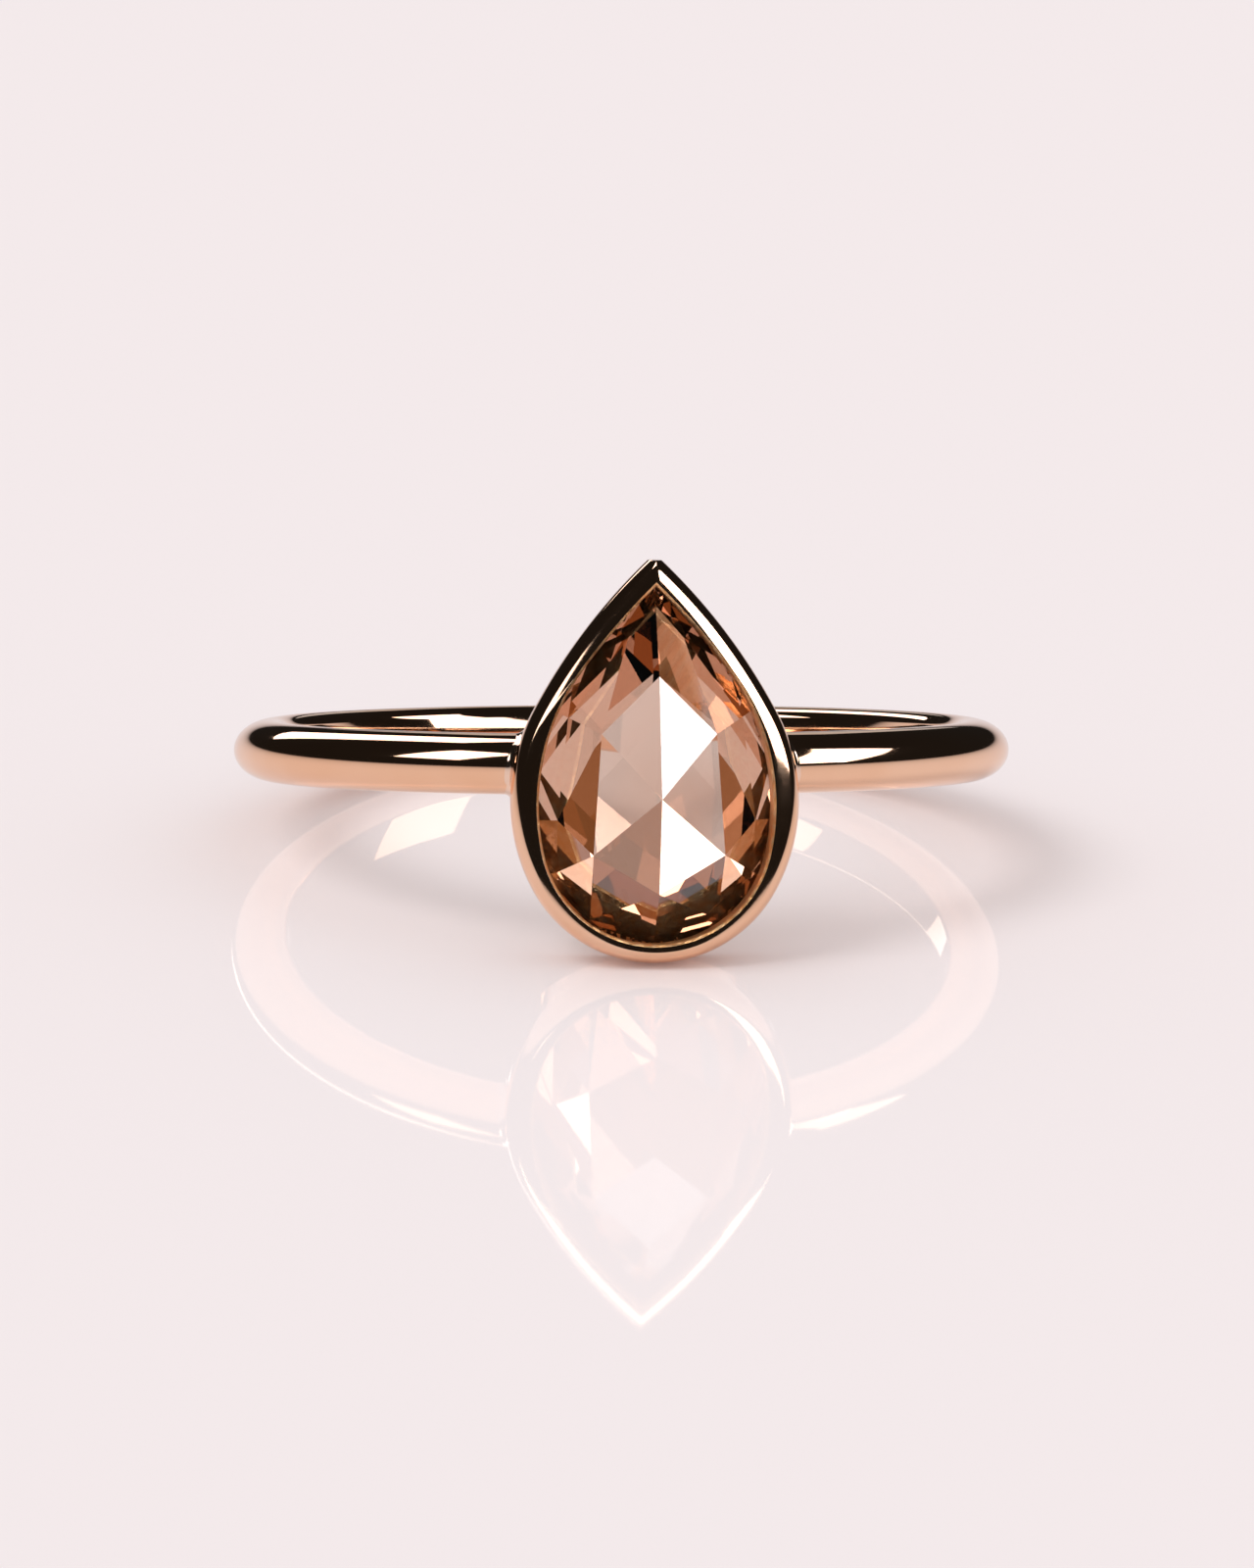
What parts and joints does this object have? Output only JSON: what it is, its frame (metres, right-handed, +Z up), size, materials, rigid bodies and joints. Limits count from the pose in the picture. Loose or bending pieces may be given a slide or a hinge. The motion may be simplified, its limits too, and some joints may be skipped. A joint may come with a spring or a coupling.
{
  "type": "engagement ring",
  "caption": "Bezel-set engagement ring: rose gold band of slim domed wire, with a pear-shaped rose-cut stone in a smooth bezel open at the back.",
  "frame": {"origin": "centre of the finger hole, in the middle of the shank's width", "axes": "the ring lies as it rests on a table: +Z is up, -Y is towards the stone, and the finger hole's axis leans 12.8 degrees from +Z towards +Y"},
  "size_m": [0.0192, 0.0208, 0.0098],
  "materials": {
    "rose_gold": "polished",
    "rose_gold_inside": "bright cut",
    "rose_gold_solder": "polished",
    "stone": "faceted and polished"
  },
  "bodies": {
    "root": {"shank": "rose_gold", "bezel_wall": "rose_gold", "bearing_strip": "rose_gold_inside", "solder_bead_left": "rose_gold_solder", "solder_bead_right": "rose_gold_solder", "stone": "stone"}
  },
  "joints": []
}
